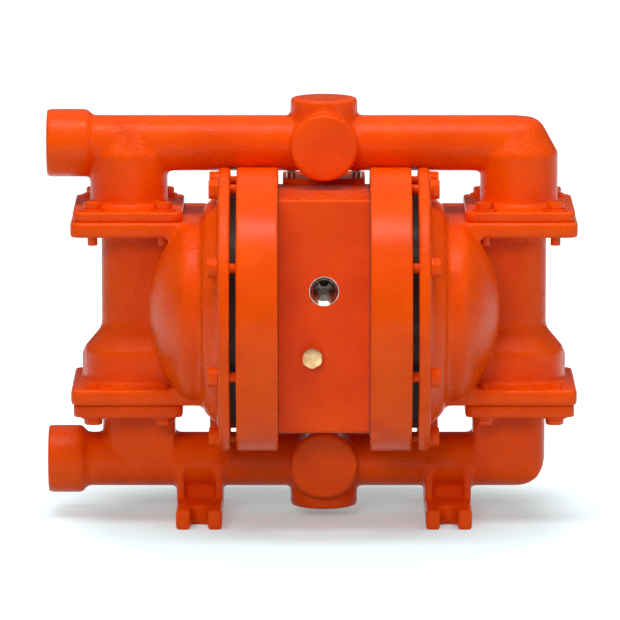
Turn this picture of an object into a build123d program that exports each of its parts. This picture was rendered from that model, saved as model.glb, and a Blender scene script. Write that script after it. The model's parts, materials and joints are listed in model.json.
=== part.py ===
from build123d import *
import math
import os

# Air operated double diaphragm pump, millimetres.
# +X right, -Y front (air inlet side), +Z up.  The origin is on the floor, under the middle of the rod.
# "rise" and "drop" are heights above and below the rod's axis, "reach" is a distance out from the pump's middle.

# --- where the main axes lie
ROD_HEIGHT = 219.2            # rod axis above the floor
COLUMN_REACH = 196.3          # liquid columns, left and right of the middle
COLUMN_BACK = 60.0            # columns, manifolds and feet behind the rod, so the pipes clear the rims
DISCHARGE_RISE = 160.0        # discharge pipe axis
INLET_DROP = 162.4            # inlet pipe axis

# --- centre block
BLOCK_WIDTH = 90.0
BLOCK_FRONT = 51.0            # front face in front of the rod axis
BLOCK_REAR = 69.0
BLOCK_HEIGHT = 234.8
BLOCK_ROUND = 3.0
AIR_INLET_RISE = 25.7
AIR_INLET_R = 12.2            # 3/4 inch taper pipe thread, minor size
AIR_INLET_DEPTH = 24.0
AIR_INLET_CHAMFER = 2.0
SUPPLY_R = 7.0
PLUG_OFFSET = 11.8            # left of the middle
PLUG_DROP = 39.6
PLUG_THREAD_R = 6.6
PLUG_THREAD_DEPTH = 13.0
PLUG_HOLE_DEPTH = 15.0
PLUG_DRILLING_R = 4.0
PLUG_DRILLING_DEPTH = 30.0
PLUG_HEX = 19.0
PLUG_HEX_LENGTH = 14.0
CHAMBER_PORT_R = 6.0          # drillings that feed the two air chambers
CHAMBER_PORT_BACK = 20.0
LEFT_PORT_DROP = 34.0
RIGHT_PORT_DROP = 50.0
VALVE_PORT_OFFSET = 12.0
SHEET = 0.8                   # gasket sheet

# --- air chambers and the clamped edge of the diaphragms
RIM_R = 141.8
AIR_CHAMBER_DEPTH = 41.4
AIR_CHAMBER_FLOOR = 12.0
BOWL_MOUTH_R = 92.0
AIR_BOWL_FLOOR_R = 78.0
RIM_ROUND = 2.0
ROD_HOLE_R = 14.0
CHAMBER_SCREW_ACROSS = 33.0
CHAMBER_SCREW_UP = 57.0
BEAD_THICK = 6.2
BEAD_R = 117.0

# --- liquid chambers
RIM_FLANGE = 12.0
DOME_REACH = 176.0            # outermost point of the bowl
DOME_R = 90.5                 # straight stretch of the bowl, between the plates
DOME_CROWN_R = 130.0
DOME_KNUCKLE = 16.0
ROOT_R = 116.5                # shouldered root of the bowl on the rim flange
SHOULDER_R = 104.0
SHOULDER_LENGTH = 13.6
SHOULDER_ROUND = 8.0
ROOT_LENGTH = 18.0
DOME_WALL = 9.0
TOP_FACE_RISE = 89.0
BOTTOM_FACE_DROP = 96.4
TOP_PLATE = 15.5
BOTTOM_PLATE = 16.3
PLATE_REACH = 253.7
PLATE_DEPTH = 150.0
PLATE_CORNER = 9.0
PLATE_FILLET = 12.0
COLUMN_R = 28.0
BULGE_R = 46.0
BULGE_TOP_DROP = 47.7
BULGE_NECK_DROP = 26.5
BULGE_ROUND = 10.0
NECK_ROUND = 14.0
CAGE_R = 34.0
BORE_R = 20.0
NECK_REACH = 111.0            # where the neck between bowl and column starts
PASSAGE_WIDTH = 30.0
PASSAGE_HEIGHT = 50.0
PASSAGE_REACH = 128.0
BOLT_POCKET_R = 11.5
BOLT_POCKET = 24.0
FLASH_WIDTH = 7.0             # raised strip down the outside of the ball cage
FLASH_RAISE = 1.6

# --- ball valves
BALL_R = 24.0
BALL_LIFT = 16.0
BALL_SIDE_GAP = 0.6
BALL_TOP_GAP = 0.5
BALL_SEAT_GAP = 0.05
SEAT_R = 32.0
SEAT_HEIGHT = 12.0
SEAT_BORE_R = 17.0
SEAT_EDGE_R = 21.5            # circle on the seat's face where the ball sits
SEAT_GAP = 0.1
RING_SECTION = 3.0
GUIDE_RIB = 6.0

# --- manifolds
PIPE_R = 28.0
INLET_PIPE_R = 27.3
PORT_REACH = 278.5
PORT_R = 34.1
PORT_LENGTH = 40.5
INLET_PORT_LENGTH = 34.0
PORT_TAPER = 6.0
PORT_THREAD_R = 22.0          # 1-1/2 inch taper pipe thread, minor size
PORT_THREAD_DEPTH = 28.0
FLANGE_WIDTH = 110.0
FLANGE_DEPTH = 140.0
FLANGE_CORNER = 10.0
DISCHARGE_FLANGE = 10.0
INLET_FLANGE = 12.6
LEG_R = 39.0
LEG_SHOULDER_RISE = 151.0
LEG_TOP_R = 19.6
LEG_TOP_SINK = 1.5            # top of a leg under the pipe's top
LEG_TOP_ROUND = 20.0
LEG_BORE_R = 18.5
LEG_CAGE_R = 31.0
LEG_BASE_FILLET = 5.0
INLET_LEG_INNER_REACH = 150.0
INLET_LEG_OUTER_REACH = 223.5
INLET_ELBOW_R = 33.0
INLET_LEG_CORNER = 23.0       # rounding of the leg's outer corners in plan
INLET_BORE_R = 18.0
BOSS_R = 33.7
FRONT_BOSS = 44.0
TOP_BOSS_RISE = 206.2
BOTTOM_BOSS_DROP = 209.3
BOSS_ROUND = 2.0

# --- feet
FOOT_REACH = 125.3
FOOT_WIDTH = 46.6
FOOT_LENGTH = 180.0
FOOT_THICK = 19.3
FOOT_SLOT_WIDTH = 17.0
FOOT_SLOT_LENGTH = 29.0
FOOT_RIB = 8.0
FOOT_RIB_DEPTH = 58.0
FOOT_WEB_DEPTH = 26.0
FOOT_ROUND = 2.5

# --- rod, pistons and diaphragms
STROKE = 19.0                 # each way from the middle
ROD_R = 10.0
ROD_STUD_R = 8.0
ROD_STUD = 20.0
RUNNING_GAP = 0.05
BUSH_R = 13.0
BUSH_LENGTH = 22.0
SEAL_LENGTH = 4.0
ROD_RELIEF = 0.6
INNER_PISTON_R = 62.0
INNER_PISTON_THICK = 8.5
OUTER_PISTON_R = 60.0
OUTER_PISTON_THICK = 14.0
DIAPHRAGM_THICK = 3.6
ROLL_HEIGHT = 7.0

# --- pilot spool
PILOT_RISE = 50.0
PILOT_TRAVEL = 3.0
PILOT_PIN_R = 5.0
PILOT_LAND_R = 7.0
PILOT_LAND = 12.0
PILOT_LAND_REACH = 30.0
PILOT_SLEEVE_R = 11.0
PILOT_PIN_GAP = 0.3
PILOT_HOLE_GAP = 0.4

# --- air valve on the back of the centre block
VALVE_WIDTH = 83.0
VALVE_DEPTH = 58.0
VALVE_TOP_RISE = 112.0
VALVE_BOTTOM_DROP = 80.0
VALVE_BORE_R = 15.0
VALVE_BORE_BACK = 22.0
VALVE_ROUND = 6.0
EXHAUST_DROP = 20.0
EXHAUST_R = 12.2
EXHAUST_DEPTH = 20.0
SPOOL_TRAVEL = 14.0
SPOOL_NECK_R = 9.0
SPOOL_LAND = 18.0
BUMPER = 4.0
BUMPER_R = 8.0
CAP_THICK = 10.0
VALVE_SCREW_ACROSS = 32.0
VALVE_SCREW_TOP_RISE = 88.0
VALVE_SCREW_BOTTOM_DROP = 62.0
CAP_SCREW_ACROSS = 33.0
CAP_SCREW_INSET = 8.0

# --- fasteners: shank radius, head across flats or head radius, head height
BOLT_R = 5.0
BOLT_HOLE_GAP = 0.5
THREAD_GAP = 0.05
RIM_BOLT_CIRCLE_R = 129.0
RIM_BOLT_ANGLES = (76.0, 27.0, -22.5, -72.0)   # up from the front, mirrored to the back
RIM_BOLT_HEX = 17.0
RIM_BOLT_HEAD = 7.0
RIM_BOLT_GRIP = 25.0
RIM_WASHER_R = 10.0
RIM_WASHER = 2.5
PLATE_BOLT_ACROSS = 70.6
PLATE_BOLT_DEEP = 110.0
PLATE_BOLT_HEX = 16.0
PLATE_BOLT_HEAD = 6.6
PLATE_WASHER_R = 12.5
PLATE_WASHER = 2.0
TOP_BOLT_TAIL = 9.5           # thread that stands out past the chamber's plate
BOTTOM_BOLT_TAIL = 4.2
SCREW_R = 4.0
SCREW_HEAD_R = 6.5
SCREW_HEAD = 8.0
SCREW_GRIP = 18.0
CAP_SCREW_R = 3.0
CAP_SCREW_HEAD_R = 5.0
CAP_SCREW_HEAD = 6.0
CAP_SCREW_GRIP = 12.0
SOCKET = 0.55                 # hexagon socket, share of the head radius
FIT = 0.02                    # radial gap of pressed bushes and sleeves

# --- worked out from the sizes above
CHAMBER_BACK = BLOCK_WIDTH / 2 + SHEET
CHAMBER_FACE = CHAMBER_BACK + AIR_CHAMBER_DEPTH
AIR_FLOOR_REACH = CHAMBER_BACK + AIR_CHAMBER_FLOOR
LIQUID_FACE = CHAMBER_FACE + BEAD_THICK
FLANGE_OUTER = LIQUID_FACE + RIM_FLANGE
TOP_FACE = ROD_HEIGHT + TOP_FACE_RISE
BOTTOM_FACE = ROD_HEIGHT - BOTTOM_FACE_DROP
DISCHARGE_AXIS = ROD_HEIGHT + DISCHARGE_RISE
INLET_AXIS = ROD_HEIGHT - INLET_DROP
DIAPHRAGM_MID = (CHAMBER_FACE + LIQUID_FACE) / 2
DIAPHRAGM_INNER = DIAPHRAGM_MID - DIAPHRAGM_THICK / 2
DIAPHRAGM_OUTER = DIAPHRAGM_MID + DIAPHRAGM_THICK / 2
ROD_SHOULDER = DIAPHRAGM_INNER - INNER_PISTON_THICK
BALL_ABOVE_SEAT = math.sqrt(BALL_R**2 - SEAT_EDGE_R**2)
DISCHARGE_BALL = TOP_FACE + BALL_ABOVE_SEAT
INLET_BALL = BOTTOM_FACE + SEAT_HEIGHT + BALL_ABOVE_SEAT
VALVE_FRONT = BLOCK_REAR + SHEET
VALVE_AXIS = VALVE_FRONT + VALVE_BORE_BACK
VALVE_BACK = VALVE_FRONT + VALVE_DEPTH
VALVE_TOP = ROD_HEIGHT + VALVE_TOP_RISE
VALVE_BOTTOM = ROD_HEIGHT - VALVE_BOTTOM_DROP
PAST = 1.0                    # how far a cutter runs past the face it cuts

ROD_AXIS = Axis((0, 0, ROD_HEIGHT), (1, 0, 0))
COLUMN_AXIS = Axis((COLUMN_REACH, 0, 0), (0, 0, 1))
UPWARD = (Align.CENTER, Align.CENTER, Align.MIN)


# ---------------------------------------------------------------- shapes
def rod_x(start, end, radius, y=0.0, z=ROD_HEIGHT):
    """A round bar along X from start to end, its seam on top."""
    bar = Rot(0, 0, 90) * Cylinder(radius, end - start, align=UPWARD)
    return Pos(start, y, z) * Rot(0, 90, 0) * bar


def rod_y(start, end, radius, x, z):
    """A round bar along Y from start to end."""
    return Pos(x, start, z) * Rot(-90, 0, 0) * Cylinder(radius, end - start, align=UPWARD)


def rod_z(start, end, radius, x, y=0.0):
    """A round bar along Z from start to end."""
    return Pos(x, y, start) * Cylinder(radius, end - start, align=UPWARD)


def block(x, y, z):
    """A box from its (low, high) pairs."""
    size = (x[1] - x[0], y[1] - y[0], z[1] - z[0])
    return Pos(sum(x) / 2, sum(y) / 2, sum(z) / 2) * Box(*size)


def outline(corners):
    """A flat face from (u, v, radius) corners, each rounded by its radius."""
    spots = [Vector(u, v) for u, v, _ in corners]
    count = len(corners)
    starts, arcs = [], []
    for i, (_, _, radius) in enumerate(corners):
        here = spots[i]
        back = (spots[i - 1] - here).normalized()
        ahead = (spots[(i + 1) % count] - here).normalized()
        if radius == 0:
            starts.append((here, here))
            continue
        half = math.radians(back.get_angle(ahead)) / 2
        run = radius / math.tan(half)
        middle = here + (back + ahead).normalized() * (radius / math.sin(half) - radius)
        starts.append((here + back * run, here + ahead * run))
        arcs.append(ThreePointArc(here + back * run, middle, here + ahead * run))
    lines = [Line(starts[i][1], starts[(i + 1) % count][0]) for i in range(count)]
    return make_face(arcs + lines)


def turned(corners, axis, offset=0.0):
    """A turned solid.  About the rod corners are (x, radius), about a column (radius, height)."""
    if axis is ROD_AXIS:
        corners = [(x, ROD_HEIGHT + radius, bend) for x, radius, bend in corners]
    else:
        corners = [(COLUMN_REACH + radius, height, bend) for radius, height, bend in corners]
    return revolve(Plane.XZ.offset(offset) * outline(corners), axis)


def sharp(points):
    """Corners with no rounding."""
    return [(u, v, 0) for u, v in points]


def hexagon(across, height):
    """A hexagon head standing on the XY plane, its top corners cut back as on a forged head."""
    head = extrude(RegularPolygon(across / 2, 6, major_radius=False), height)
    crown = Cone(across * 0.72, across * 0.47, height * 1.3, align=UPWARD)
    return head & crown


def bolt(across, head, shank_r, length):
    """A hexagon bolt hanging down from the XY plane, its head on top."""
    shank = Pos(0, 0, -length) * Cylinder(shank_r, length, align=UPWARD)
    return hexagon(across, head) + shank


def cap_screw(shank_r, head_r, head, length):
    """A socket head screw hanging down from the XY plane."""
    body = Cylinder(head_r, head, align=UPWARD)
    body += Pos(0, 0, -length) * Cylinder(shank_r, length, align=UPWARD)
    socket = extrude(RegularPolygon(head_r * SOCKET, 6, major_radius=False), head / 2)
    return body - Pos(0, 0, head / 2) * socket


def ring(outer_r, inner_r, height):
    """A flat ring standing on the XY plane."""
    return Cylinder(outer_r, height, align=UPWARD) - Cylinder(inner_r, height, align=UPWARD)


def left_of(solid):
    """The same solid on the left."""
    return mirror(solid, about=Plane.YZ)


def half_turned(solid):
    """The same solid on the left, for what is alike in front and behind its column."""
    return Rot(0, 0, 180) * solid


def set_back(solids):
    """Moves what is drawn round the columns back to the columns' plane."""
    shift = Pos(0, COLUMN_BACK, 0)
    return [shift * item for item in solids] if isinstance(solids, list) else shift * solids


# ---------------------------------------------------------------- places of fasteners and drillings
def rim_bolt_places():
    """Bolt positions round a chamber's rim as (y, z)."""
    places = []
    for angle in RIM_BOLT_ANGLES:
        across = RIM_BOLT_CIRCLE_R * math.cos(math.radians(angle))
        up = RIM_BOLT_CIRCLE_R * math.sin(math.radians(angle))
        places += [(-across, ROD_HEIGHT + up), (across, ROD_HEIGHT + up)]
    return places


def plate_bolt_places():
    """Bolt positions on the right column's flanges as (x, y)."""
    return [
        (COLUMN_REACH + i * PLATE_BOLT_ACROSS / 2, j * PLATE_BOLT_DEEP / 2)
        for i in (-1, 1) for j in (-1, 1)
    ]


def chamber_screw_places():
    """Screws that hold an air chamber to the block, as (y, z)."""
    return [
        (i * CHAMBER_SCREW_ACROSS, ROD_HEIGHT + j * CHAMBER_SCREW_UP)
        for i in (-1, 1) for j in (-1, 1)
    ]


def valve_screw_places():
    """Screws that hold the air valve to the block, as (x, z)."""
    heights = (ROD_HEIGHT + VALVE_SCREW_TOP_RISE, ROD_HEIGHT - VALVE_SCREW_BOTTOM_DROP)
    return [(i * VALVE_SCREW_ACROSS, z) for i in (-1, 1) for z in heights]


def cap_screw_places():
    """Screws that hold each end cap of the air valve, as (x, y)."""
    rows = (VALVE_FRONT + CAP_SCREW_INSET, VALVE_BACK - CAP_SCREW_INSET)
    return [(i * CAP_SCREW_ACROSS, y) for i in (-1, 1) for y in rows]


def port_height(side):
    """Height of the drilling that feeds the air chamber on one side."""
    drop = LEFT_PORT_DROP if side < 0 else RIGHT_PORT_DROP
    return ROD_HEIGHT - drop


# ---------------------------------------------------------------- centre section
def center_block():
    half = BLOCK_WIDTH / 2
    body = block((-half, half), (-BLOCK_FRONT, BLOCK_REAR),
                 (ROD_HEIGHT - BLOCK_HEIGHT / 2, ROD_HEIGHT + BLOCK_HEIGHT / 2))
    body = fillet(body.edges().filter_by(Axis.X), BLOCK_ROUND)
    body -= rod_x(-half, half, ROD_R + ROD_RELIEF)
    pocket = BUSH_LENGTH + SEAL_LENGTH
    for start in (-half, half - pocket):
        body -= rod_x(start, start + pocket, BUSH_R)
    body -= rod_x(-half, half, PILOT_SLEEVE_R, z=ROD_HEIGHT + PILOT_RISE)
    inlet_z = ROD_HEIGHT + AIR_INLET_RISE
    body -= rod_y(-BLOCK_FRONT, -BLOCK_FRONT + AIR_INLET_DEPTH, AIR_INLET_R, 0, inlet_z)
    mouth = Cone(AIR_INLET_R, AIR_INLET_R + AIR_INLET_CHAMFER, AIR_INLET_CHAMFER, align=UPWARD)
    body -= Pos(0, -BLOCK_FRONT + AIR_INLET_CHAMFER, inlet_z) * Rot(90, 0, 0) * mouth
    body -= rod_y(-BLOCK_FRONT, BLOCK_REAR, SUPPLY_R, 0, inlet_z)
    plug_z = ROD_HEIGHT - PLUG_DROP
    body -= rod_y(-BLOCK_FRONT, PLUG_HOLE_DEPTH - BLOCK_FRONT, PLUG_THREAD_R, -PLUG_OFFSET, plug_z)
    body -= rod_y(-BLOCK_FRONT, PLUG_DRILLING_DEPTH - BLOCK_FRONT, PLUG_DRILLING_R, -PLUG_OFFSET, plug_z)
    for side in (-1, 1):
        z = port_height(side)
        x = side * VALVE_PORT_OFFSET
        body -= rod_y(CHAMBER_PORT_BACK, BLOCK_REAR, CHAMBER_PORT_R, x, z)
        low, high = sorted((x, side * half))
        body -= rod_x(low, high, CHAMBER_PORT_R, CHAMBER_PORT_BACK, z)
        for y, screw_z in chamber_screw_places():
            low, high = sorted((side * half, side * (half - SCREW_GRIP - PAST)))
            body -= rod_x(low, high, SCREW_R + THREAD_GAP, y, screw_z)
    for x, z in valve_screw_places():
        body -= rod_y(BLOCK_REAR - SCREW_GRIP - PAST, BLOCK_REAR, SCREW_R + THREAD_GAP, x, z)
    return body


def pipe_plug():
    """Hexagon plug in the front of the block."""
    z = ROD_HEIGHT - PLUG_DROP
    stem = rod_y(-BLOCK_FRONT, PLUG_THREAD_DEPTH - BLOCK_FRONT, PLUG_THREAD_R - THREAD_GAP, -PLUG_OFFSET, z)
    head = Rot(0, 0, 30) * hexagon(PLUG_HEX, PLUG_HEX_LENGTH)
    return stem + Pos(-PLUG_OFFSET, -BLOCK_FRONT, z) * Rot(90, 0, 0) * head


def shaft_bush():
    end = BLOCK_WIDTH / 2
    return (rod_x(end - BUSH_LENGTH, end, BUSH_R - FIT)
            - rod_x(end - BUSH_LENGTH, end, ROD_R + RUNNING_GAP))


def shaft_seal():
    end = BLOCK_WIDTH / 2 - BUSH_LENGTH
    return rod_x(end - SEAL_LENGTH, end, BUSH_R - FIT) - rod_x(end - SEAL_LENGTH, end, ROD_R + RUNNING_GAP)


def back_plate_holes(side, start, end, for_gasket=False):
    """What passes between the block and an air chamber: rod, pilot pin, air drilling and screws."""
    screw = SCREW_R + BOLT_HOLE_GAP
    pin_r = PILOT_SLEEVE_R if for_gasket else PILOT_PIN_R + PILOT_HOLE_GAP
    holes = rod_x(start, end, ROD_HOLE_R)
    holes += rod_x(start, end, pin_r, z=ROD_HEIGHT + PILOT_RISE)
    holes += rod_x(start, end, CHAMBER_PORT_R, CHAMBER_PORT_BACK, port_height(side))
    for y, z in chamber_screw_places():
        holes += rod_x(start, end, screw, y, z)
    return holes


def chamber_gasket(side):
    """Sheet between the block and an air chamber, drawn on the right."""
    start = BLOCK_WIDTH / 2
    sheet = block((start, start + SHEET), (-BLOCK_FRONT, BLOCK_REAR),
                  (ROD_HEIGHT - BLOCK_HEIGHT / 2, ROD_HEIGHT + BLOCK_HEIGHT / 2))
    sheet = fillet(sheet.edges().filter_by(Axis.X), BLOCK_ROUND)
    return sheet - back_plate_holes(side, start, start + SHEET, for_gasket=True)


def air_chamber(side):
    """Dished disc that holds the air behind a diaphragm, drawn on the right."""
    corners = [
        (CHAMBER_BACK, ROD_HOLE_R, 0),
        (CHAMBER_BACK, RIM_R, RIM_ROUND),
        (CHAMBER_FACE, RIM_R, RIM_ROUND),
        (CHAMBER_FACE, BOWL_MOUTH_R, 1),
        (AIR_FLOOR_REACH, AIR_BOWL_FLOOR_R, 8),
        (AIR_FLOOR_REACH, ROD_HOLE_R, 0),
    ]
    body = turned(corners, ROD_AXIS)
    body -= back_plate_holes(side, CHAMBER_BACK, AIR_FLOOR_REACH)
    for y, z in chamber_screw_places():
        body -= rod_x(AIR_FLOOR_REACH - SCREW_HEAD, AIR_FLOOR_REACH, SCREW_HEAD_R + BOLT_HOLE_GAP, y, z)
    for y, z in rim_bolt_places():
        body -= rod_x(CHAMBER_FACE - RIM_BOLT_GRIP - PAST, CHAMBER_FACE, BOLT_R + THREAD_GAP, y, z)
    return body


def air_chamber_screws():
    length = AIR_CHAMBER_FLOOR - SCREW_HEAD + SHEET + SCREW_GRIP
    screw = Rot(0, 90, 0) * cap_screw(SCREW_R, SCREW_HEAD_R, SCREW_HEAD, length)
    return [Pos(AIR_FLOOR_REACH - SCREW_HEAD, y, z) * screw for y, z in chamber_screw_places()]


# ---------------------------------------------------------------- liquid chambers
def bowl(start, start_r, apex):
    """A solid spherical cap along X, start_r in radius where it starts."""
    height = apex - start
    sphere_r = (start_r**2 + height**2) / (2 * height)
    middle = apex - sphere_r
    half_angle = math.atan2(start_r, start - middle) / 2
    edge = (start, ROD_HEIGHT + start_r)
    tip = (apex, ROD_HEIGHT)
    half_way = (middle + sphere_r * math.cos(half_angle), ROD_HEIGHT + sphere_r * math.sin(half_angle))
    sides = Polyline(tip, (start, ROD_HEIGHT), edge)
    return revolve(Plane.XZ * make_face([ThreePointArc(edge, half_way, tip), sides]), ROD_AXIS)


def dome():
    """Outside of the bowl: a shouldered root on the rim flange, a straight stretch and a domed end."""
    middle = DOME_REACH - DOME_CROWN_R
    knuckle_r = DOME_R - DOME_KNUCKLE
    knuckle_x = middle + math.sqrt((DOME_CROWN_R - DOME_KNUCKLE) ** 2 - knuckle_r**2)
    lean = math.atan2(knuckle_r, knuckle_x - middle)

    def on_circle(x, r, radius, angle):
        return (x + radius * math.cos(angle), ROD_HEIGHT + r + radius * math.sin(angle))

    bends = [on_circle(knuckle_x, knuckle_r, DOME_KNUCKLE, angle)
             for angle in (math.pi / 2, (math.pi / 2 + lean) / 2, lean)]
    tip = (DOME_REACH, ROD_HEIGHT)
    crown = ThreePointArc(bends[-1], on_circle(middle, 0, DOME_CROWN_R, lean / 2), tip)
    sides = Polyline(tip, (FLANGE_OUTER, ROD_HEIGHT), (FLANGE_OUTER, ROD_HEIGHT + DOME_R), bends[0])
    bulb = revolve(Plane.XZ * make_face([ThreePointArc(*bends), crown, sides]), ROD_AXIS)
    root = turned([
        (FLANGE_OUTER, 0, 0), (FLANGE_OUTER, ROOT_R, 0),
        (FLANGE_OUTER + SHOULDER_LENGTH, SHOULDER_R, SHOULDER_ROUND),
        (FLANGE_OUTER + ROOT_LENGTH, DOME_R - 1, 0), (FLANGE_OUTER + ROOT_LENGTH, 0, 0),
    ], ROD_AXIS)
    return bulb + root


def plate(low, high, fillet_r):
    """A shelf that carries a manifold flange, faired into the rim flange."""
    inside = LIQUID_FACE + RIM_FLANGE / 2
    flare = fillet_r + 2
    corners = [
        (inside, low - flare, 0), (FLANGE_OUTER, low - flare, 0), (FLANGE_OUTER, low, fillet_r),
        (PLATE_REACH, low, 0), (PLATE_REACH, high, 0),
        (FLANGE_OUTER, high, fillet_r), (FLANGE_OUTER, high + flare, 0), (inside, high + flare, 0),
    ]
    shelf = Plane.XZ.offset(-PLATE_DEPTH / 2) * outline(corners)
    shelf = extrude(shelf, PLATE_DEPTH)
    ends = shelf.edges().filter_by(Axis.Z).group_by(Axis.X)[-1]
    return fillet(ends, PLATE_CORNER)


def cage_roof(ball_height, cage_r):
    """Height where a ball cage starts to close in, so that the ball stops at its full lift."""
    return ball_height + BALL_LIFT + BALL_TOP_GAP + BALL_R * math.sqrt(2) - cage_r


def guide_ribs(cage_r, floor, roof):
    """Four ribs that keep the ball in the middle of its cage."""
    inner = BALL_R + BALL_SIDE_GAP
    rib = block((inner, cage_r + PAST), (-GUIDE_RIB / 2, GUIDE_RIB / 2), (floor, roof))
    return [Pos(COLUMN_REACH, 0, 0) * Rot(0, 0, 45 + 90 * i) * rib for i in range(4)]


def column_shell():
    """Outside of the liquid column with the ball cage at its foot."""
    bottom = BOTTOM_FACE + BOTTOM_PLATE
    top = TOP_FACE - TOP_PLATE
    corners = [
        (0, bottom - 4, 0), (BULGE_R + 8, bottom - 4, 0), (BULGE_R + 8, bottom, 0), (BULGE_R, bottom, 5),
        (BULGE_R, ROD_HEIGHT - BULGE_TOP_DROP, BULGE_ROUND),
        (COLUMN_R, ROD_HEIGHT - BULGE_NECK_DROP, NECK_ROUND),
        (COLUMN_R, top, 8), (COLUMN_R + 11, top, 0), (COLUMN_R + 11, top + 4, 0), (0, top + 4, 0),
    ]
    return turned(corners, COLUMN_AXIS)


def column_bore():
    """Liquid way through the column: seat pockets, ball cage and bore."""
    floor = BOTTOM_FACE + SEAT_HEIGHT
    roof = cage_roof(INLET_BALL, CAGE_R)
    pocket = SEAT_R + SEAT_GAP
    corners = sharp([
        (0, BOTTOM_FACE), (pocket, BOTTOM_FACE), (pocket, floor), (CAGE_R, floor), (CAGE_R, roof),
        (BORE_R, roof + CAGE_R - BORE_R), (BORE_R, TOP_FACE - SEAT_HEIGHT),
        (pocket, TOP_FACE - SEAT_HEIGHT), (pocket, TOP_FACE), (0, TOP_FACE),
    ])
    return turned(corners, COLUMN_AXIS)


def column_neck():
    """Fills between the bowl and the column, as wide as the column at every height."""
    top = TOP_FACE - TOP_PLATE / 2
    bottom = BOTTOM_FACE + BOTTOM_PLATE / 2
    neck = block((NECK_REACH, COLUMN_REACH), (-COLUMN_R, COLUMN_R), (bottom, top))
    cage_top = ROD_HEIGHT - BULGE_TOP_DROP
    cage_neck = ROD_HEIGHT - BULGE_NECK_DROP
    section = outline([
        (-BULGE_R, bottom, 0), (BULGE_R, bottom, 0), (BULGE_R, cage_top, BULGE_ROUND), (COLUMN_R, cage_neck, 0),
        (-COLUMN_R, cage_neck, 0), (-BULGE_R, cage_top, BULGE_ROUND),
    ])
    cage = extrude(Plane.YZ.offset(COLUMN_REACH - BULGE_R) * section, BULGE_R)
    return neck + cage


def liquid_chamber():
    """Bowl, rim flange, column and the two shelves, drawn on the right."""
    rim = rod_x(LIQUID_FACE, FLANGE_OUTER, RIM_R)
    rim = fillet(rim.edges().filter_by(GeomType.CIRCLE), RIM_ROUND)
    body = rim + dome()
    root = FLANGE_OUTER + PLATE_FILLET
    for low, high in ((TOP_FACE, TOP_FACE + RIM_R), (BOTTOM_FACE - RIM_R, BOTTOM_FACE)):
        body -= block((FLANGE_OUTER + ROOT_LENGTH, DOME_REACH), (-RIM_R, RIM_R), (low, high))
    shelves = plate(TOP_FACE - TOP_PLATE, TOP_FACE, PLATE_FILLET)
    shelves += plate(BOTTOM_FACE, BOTTOM_FACE + BOTTOM_PLATE, PLATE_FILLET)
    shelves = set_back(shelves)
    outside_rim = block((LIQUID_FACE, root), (-PLATE_REACH, PLATE_REACH), (0, 2 * ROD_HEIGHT))
    shelves -= outside_rim - rod_x(LIQUID_FACE, root, RIM_R - RIM_ROUND)
    strip_end = COLUMN_REACH + BULGE_R + FLASH_RAISE
    strip = block((COLUMN_REACH + BULGE_R - 6, strip_end), (-FLASH_WIDTH / 2, FLASH_WIDTH / 2),
                  (BOTTOM_FACE + BOTTOM_PLATE / 2, ROD_HEIGHT - BULGE_TOP_DROP - 4))
    body = body + shelves + set_back(column_shell()) + set_back(column_neck()) + set_back(strip)
    body -= bowl(LIQUID_FACE, BOWL_MOUTH_R, DOME_REACH - DOME_WALL)
    body -= set_back(column_bore())
    body -= set_back(block((PASSAGE_REACH, COLUMN_REACH), (-PASSAGE_WIDTH / 2, PASSAGE_WIDTH / 2),
                           (ROD_HEIGHT - PASSAGE_HEIGHT / 2, ROD_HEIGHT + PASSAGE_HEIGHT / 2)))
    for rib in guide_ribs(CAGE_R, BOTTOM_FACE + SEAT_HEIGHT, cage_roof(INLET_BALL, CAGE_R)):
        body += set_back(rib)
    for y, z in rim_bolt_places():
        body -= rod_x(LIQUID_FACE, FLANGE_OUTER, BOLT_R + BOLT_HOLE_GAP, y, z)
        body -= rod_x(FLANGE_OUTER, FLANGE_OUTER + BOLT_POCKET, BOLT_POCKET_R, y, z)
    for x, y in plate_bolt_places():
        top_hole = rod_z(TOP_FACE - TOP_PLATE, TOP_FACE, BOLT_R + THREAD_GAP, x, y)
        tail = TOP_FACE - TOP_PLATE - TOP_BOLT_TAIL - PAST
        top_hole += rod_z(tail, TOP_FACE - TOP_PLATE, BOLT_R + BOLT_HOLE_GAP, x, y)
        bottom_hole = rod_z(BOTTOM_FACE, BOTTOM_FACE + BOTTOM_PLATE, BOLT_R + THREAD_GAP, x, y)
        body = body - set_back(top_hole) - set_back(bottom_hole)
    return body


def rim_bolts():
    length = RIM_WASHER + RIM_FLANGE + BEAD_THICK + RIM_BOLT_GRIP
    item = Rot(0, 90, 0) * bolt(RIM_BOLT_HEX, RIM_BOLT_HEAD, BOLT_R, length)
    return [Pos(FLANGE_OUTER + RIM_WASHER, y, z) * item for y, z in rim_bolt_places()]


def rim_washers():
    item = Rot(0, 90, 0) * ring(RIM_WASHER_R, BOLT_R + BOLT_HOLE_GAP / 2, RIM_WASHER)
    return [Pos(FLANGE_OUTER, y, z) * item for y, z in rim_bolt_places()]


# ---------------------------------------------------------------- ball valves
def valve_seat(face, ball_height, ring_below):
    """Seat ring on the right column, from face upwards, ground to the ball."""
    seat = rod_z(face, face + SEAT_HEIGHT, SEAT_R, COLUMN_REACH)
    seat -= rod_z(face, face + SEAT_HEIGHT, SEAT_BORE_R, COLUMN_REACH)
    seat -= Pos(COLUMN_REACH, 0, ball_height) * Sphere(BALL_R + BALL_SEAT_GAP)
    return seat - seal_ring(face, ring_below)


def seal_ring(face, ring_below):
    """Ring in the rebate at the joint face's corner of a seat."""
    low = face if ring_below else face + SEAT_HEIGHT - RING_SECTION
    outer = rod_z(low, low + RING_SECTION, SEAT_R, COLUMN_REACH)
    return outer - rod_z(low, low + RING_SECTION, SEAT_R - RING_SECTION, COLUMN_REACH)


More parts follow.
